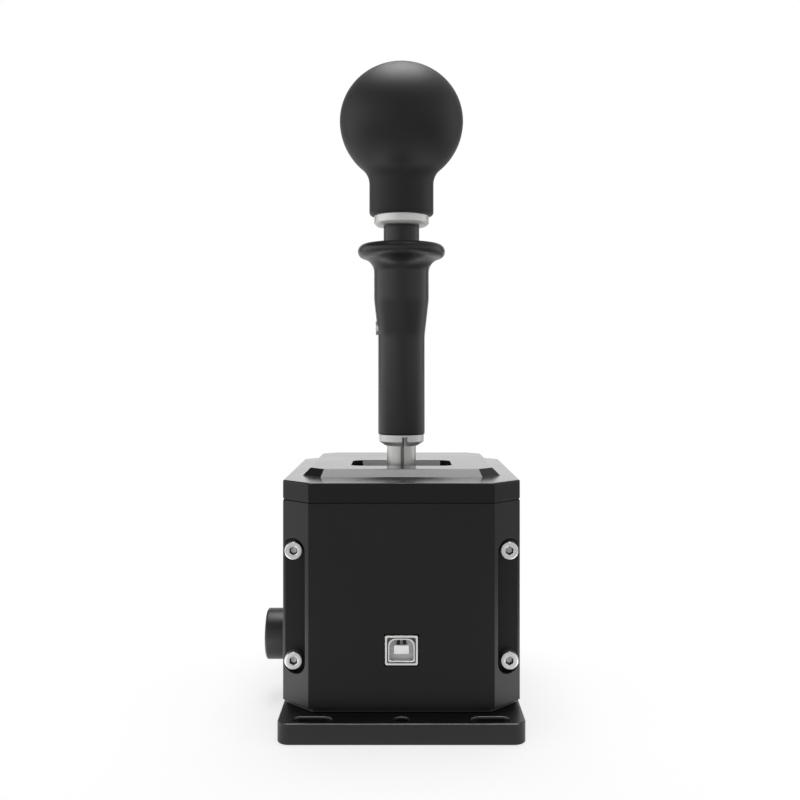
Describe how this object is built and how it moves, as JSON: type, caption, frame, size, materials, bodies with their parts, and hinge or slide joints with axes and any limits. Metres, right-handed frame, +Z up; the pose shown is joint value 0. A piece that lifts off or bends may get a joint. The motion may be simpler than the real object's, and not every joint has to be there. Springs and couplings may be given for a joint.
{
  "type": "sim racing gear shifter",
  "caption": "Gated gear lever with a ball knob and a reverse lift sleeve, in a chamfered metal box on a slotted base plate, with a friction adjuster and a USB socket.",
  "frame": {"origin": "centre of the base plate's underside", "axes": "+Z up along the lever, -Y towards the face with the USB socket, +X to its right"},
  "size_m": [0.1005, 0.127, 0.2617],
  "materials": {
    "black_paint": "satin",
    "black_anodised": "satin",
    "black_plastic": "satin",
    "bright_metal": "polished",
    "inner_steel": "machined",
    "bronze": "machined",
    "circuit_board": "satin",
    "white_plastic": "matte",
    "lead_sheath": "matte"
  },
  "bodies": {
    "housing": {"base_plate": "black_paint", "left_side_wall": "black_paint", "right_side_wall": "black_paint", "port_cover": "black_paint", "far_cover": "black_paint", "top_cover": "black_paint", "port_cover_screws": "bright_metal", "far_cover_screws": "bright_metal", "usb_shell": "bright_metal", "base_screws": "inner_steel", "top_cover_screws": "inner_steel", "board_screws": "inner_steel", "left_bracket": "inner_steel", "right_bracket": "inner_steel", "bracket_screws": "inner_steel", "gate_plate": "inner_steel", "gate_spacers": "inner_steel", "gate_screws": "inner_steel", "detent_barrel": "inner_steel", "detent_spring": "inner_steel", "friction_plunger": "inner_steel", "friction_springs": "inner_steel", "board_standoffs": "bronze", "pivot_bushes": "bronze", "spindle_bush": "bronze", "friction_pad": "bronze", "main_board": "circuit_board", "hall_board": "circuit_board", "usb_insert": "white_plastic", "sensor_lead": "lead_sheath"},
    "cradle": {"cradle_frame": "inner_steel", "cradle_shafts": "inner_steel", "cross_pin": "inner_steel", "cross_pin_clips": "inner_steel", "friction_sector": "inner_steel", "detent_sector": "inner_steel", "sector_screws": "inner_steel", "select_springs": "inner_steel"},
    "lever": {"lever_hub": "inner_steel", "hub_bushes": "bronze", "rod_pin": "inner_steel", "gate_pin": "inner_steel", "tip_magnet": "inner_steel", "lever_rod": "bright_metal", "lever_tube": "black_anodised", "knob_ring": "bright_metal", "knob_insert": "bronze", "gear_knob": "black_plastic", "lift_spring": "inner_steel"},
    "sleeve": {"lift_sleeve": "black_anodised", "sleeve_ferrule": "bright_metal", "sleeve_screw": "bright_metal", "pull_wire": "inner_steel", "lockout_ring": "inner_steel"},
    "adjuster": {"adjust_knob": "black_plastic", "adjust_spindle": "inner_steel", "adjust_grub": "inner_steel"},
    "nut": {"adjuster_nut": "bronze"},
    "plunger": {"detent_plunger": "inner_steel"}
  },
  "joints": [
    {"name": "shift_tilt", "type": "hinge", "parent": "housing", "child": "cradle", "pos_m": [0, -0.0074, 0.0569], "axis": [1, 0, 0], "range_deg": [-7.5, 7.5]},
    {"name": "select_tilt", "type": "hinge", "parent": "cradle", "child": "lever", "pos_m": [0, -0.0074, 0.0569], "axis": [0, 1, 0], "range_deg": [-14, 14], "stiffness_Nm_per_rad": 4, "deforming": ["select_springs"]},
    {"name": "sleeve_lift", "type": "slide", "parent": "lever", "child": "sleeve", "axis": [0, 0, 1], "range_m": [0, 0.007], "stiffness_N_per_m": 600, "springref_m": -0.008, "deforming": ["lift_spring"]},
    {"name": "adjuster_turn", "type": "hinge", "parent": "housing", "child": "adjuster", "pos_m": [-0.05, -0.0074, 0.0252], "axis": [1, 0, 0], "range_deg": [0, 270]},
    {"name": "nut_travel", "type": "slide", "parent": "housing", "child": "nut", "axis": [1, 0, 0], "range_m": [0, 0.00094], "deforming": ["friction_springs"]},
    {"name": "detent_press", "type": "slide", "parent": "housing", "child": "plunger", "axis": [-1, 0, 0], "range_m": [0, 0.001], "stiffness_N_per_m": 800, "springref_m": 0.001, "deforming": ["detent_spring"]}
  ],
  "couplings": [
    {"joint": "nut_travel", "follows": "adjuster_turn", "m_per_rad": 0.00019894}
  ]
}
